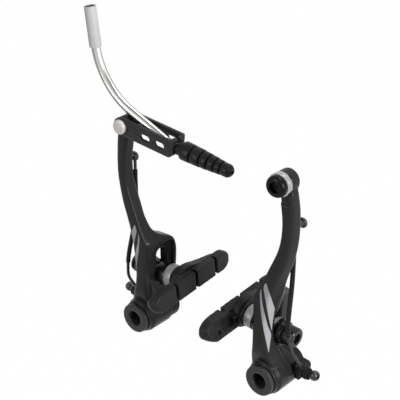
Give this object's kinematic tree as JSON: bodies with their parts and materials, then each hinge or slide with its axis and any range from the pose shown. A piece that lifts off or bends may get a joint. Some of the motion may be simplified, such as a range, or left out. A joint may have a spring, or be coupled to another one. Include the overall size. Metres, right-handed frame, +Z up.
{
  "type": "v-brake",
  "caption": "Direct-pull bicycle rim brake: two dark cast arms on pivot sleeves with grooved rubber pads, spring wires, a slotted cable link, a bent guide tube and a ribbed boot.",
  "frame": {"origin": "midway between the two post axes, in the plane of the sleeves' front faces", "axes": "+X across the wheel to the right arm, +Y back along the posts to the frame, +Z up to the cable"},
  "size_m": [0.1344, 0.0566, 0.1678],
  "materials": {
    "arm_black": "satin charcoal paint with two pale grey stripes",
    "sleeve_steel": "dark treated steel",
    "bush_bronze": "plain bronze",
    "spring_steel": "drawn spring wire",
    "wire_cover": "matte black plastic",
    "holder_plastic": "matte black plastic",
    "pin_steel": "plain steel",
    "screw_steel": "black oxide steel",
    "pad_rubber": "moulded dark grey rubber",
    "washer_zinc": "satin zinc plate",
    "nut_black": "black plated",
    "link_black": "satin black on pressed steel",
    "pin_silver": "satin silver",
    "tube_steel": "polished",
    "ferrule_silver": "satin silver",
    "boot_rubber": "moulded black rubber",
    "bolt_black": "black plated",
    "clamp_silver": "bright plated"
  },
  "bodies": {
    "mount": {"left_pivot_sleeve": "sleeve_steel", "left_spring_holder": "holder_plastic", "left_stop_pin": "pin_steel", "left_return_spring": "spring_steel", "left_spring_tube": "wire_cover", "right_pivot_sleeve": "sleeve_steel", "right_spring_holder": "holder_plastic", "right_stop_pin": "pin_steel", "right_return_spring": "spring_steel", "right_spring_tube": "wire_cover"},
    "left_arm": {"left_arm": "arm_black", "left_pivot_bush": "bush_bronze", "left_spring_peg": "screw_steel"},
    "left_domes": {"left_inner_dome_washer": "nut_black", "left_outer_dome_washer": "washer_zinc"},
    "left_cups": {"left_inner_cup_washer": "washer_zinc", "left_outer_cup_washer": "washer_zinc"},
    "left_pad": {"left_brake_pad": "pad_rubber", "left_pad_stud": "pin_steel", "left_nut_washer": "nut_black", "left_pad_nut": "nut_black"},
    "left_screw": {"left_tension_screw": "screw_steel"},
    "right_arm": {"right_arm": "arm_black", "right_pivot_bush": "bush_bronze", "right_spring_peg": "screw_steel"},
    "right_domes": {"right_inner_dome_washer": "nut_black", "right_outer_dome_washer": "washer_zinc"},
    "right_cups": {"right_inner_cup_washer": "washer_zinc", "right_outer_cup_washer": "washer_zinc"},
    "right_pad": {"right_brake_pad": "pad_rubber", "right_pad_stud": "pin_steel", "right_nut_washer": "nut_black", "right_pad_nut": "nut_black"},
    "right_screw": {"right_tension_screw": "screw_steel"},
    "link": {"cable_link": "link_black", "link_pin": "pin_silver"},
    "guide": {"guide_tube": "tube_steel", "tube_liner": "wire_cover", "tube_ferrule": "ferrule_silver"},
    "boot": {"cable_boot": "boot_rubber"},
    "anchor_bolt": {"cable_anchor_bolt": "bolt_black"},
    "clamp_washer": {"cable_clamp_washer": "clamp_silver"}
  },
  "joints": [
    {"name": "left_arm_pivot", "type": "hinge", "parent": "mount", "child": "left_arm", "pos_m": [-0.04, 0.0132, 0], "axis": [0, -1, 0], "range_deg": [-5, 20], "stiffness_Nm_per_rad": 0.8, "deforming": ["left_return_spring", "left_spring_tube"]},
    {"name": "left_pad_height", "type": "slide", "parent": "left_arm", "child": "left_domes", "axis": [-0.057, 0, 0.9984], "range_m": [-0.003, 0.009]},
    {"name": "left_pad_toe", "type": "hinge", "parent": "left_domes", "child": "left_cups", "pos_m": [-0.03588, 0.014, 0.02428], "axis": [0.057, 0, -0.9984], "range_deg": [-4, 4]},
    {"name": "left_pad_roll", "type": "hinge", "parent": "left_cups", "child": "left_pad", "pos_m": [-0.03588, 0.014, 0.02428], "axis": [-0.9984, 0, -0.057], "range_deg": [-15, 15]},
    {"name": "left_tension_turn", "type": "hinge", "parent": "mount", "child": "left_screw", "pos_m": [-0.0505, 0.0176, 0.0014], "axis": [-0.9825, 0, 0.1862], "range_deg": [-180, 180]},
    {"name": "right_arm_pivot", "type": "hinge", "parent": "mount", "child": "right_arm", "pos_m": [0.04, 0.0132, 0], "axis": [0, 1, 0], "range_deg": [-5, 20], "stiffness_Nm_per_rad": 0.8, "deforming": ["right_return_spring", "right_spring_tube"]},
    {"name": "right_pad_height", "type": "slide", "parent": "right_arm", "child": "right_domes", "axis": [0.057, 0, 0.9984], "range_m": [-0.0015, 0.0105]},
    {"name": "right_pad_toe", "type": "hinge", "parent": "right_domes", "child": "right_cups", "pos_m": [0.03578, 0.014, 0.02258], "axis": [0.057, 0, 0.9984], "range_deg": [-4, 4]},
    {"name": "right_pad_roll", "type": "hinge", "parent": "right_cups", "child": "right_pad", "pos_m": [0.03578, 0.014, 0.02258], "axis": [0.9984, 0, -0.057], "range_deg": [-15, 15]},
    {"name": "right_tension_turn", "type": "hinge", "parent": "mount", "child": "right_screw", "pos_m": [0.0505, 0.0176, 0.0014], "axis": [0.9825, 0, 0.1862], "range_deg": [-180, 180]},
    {"name": "link_pivot", "type": "hinge", "parent": "left_arm", "child": "link", "pos_m": [-0.04603, 0.00375, 0.10563], "axis": [0, 1, 0], "range_deg": [-60, 30]},
    {"name": "tube_swivel", "type": "hinge", "parent": "link", "child": "guide", "pos_m": [-0.01595, 0.00375, 0.10292], "axis": [0.9976, 0, -0.0698], "range_deg": [-10, 10]},
    {"name": "boot_slide", "type": "slide", "parent": "guide", "child": "boot", "axis": [0.9976, 0, -0.0698], "range_m": [0, 0.006]},
    {"name": "anchor_loosen", "type": "slide", "parent": "right_arm", "child": "anchor_bolt", "axis": [0, -1, 0], "range_m": [0, 0.0025]},
    {"name": "clamp_open", "type": "slide", "parent": "right_arm", "child": "clamp_washer", "axis": [0, -1, 0], "range_m": [0, 0.0015]}
  ],
  "couplings": [
    {"joint": "clamp_open", "follows": "anchor_loosen", "ratio": 0.6}
  ]
}
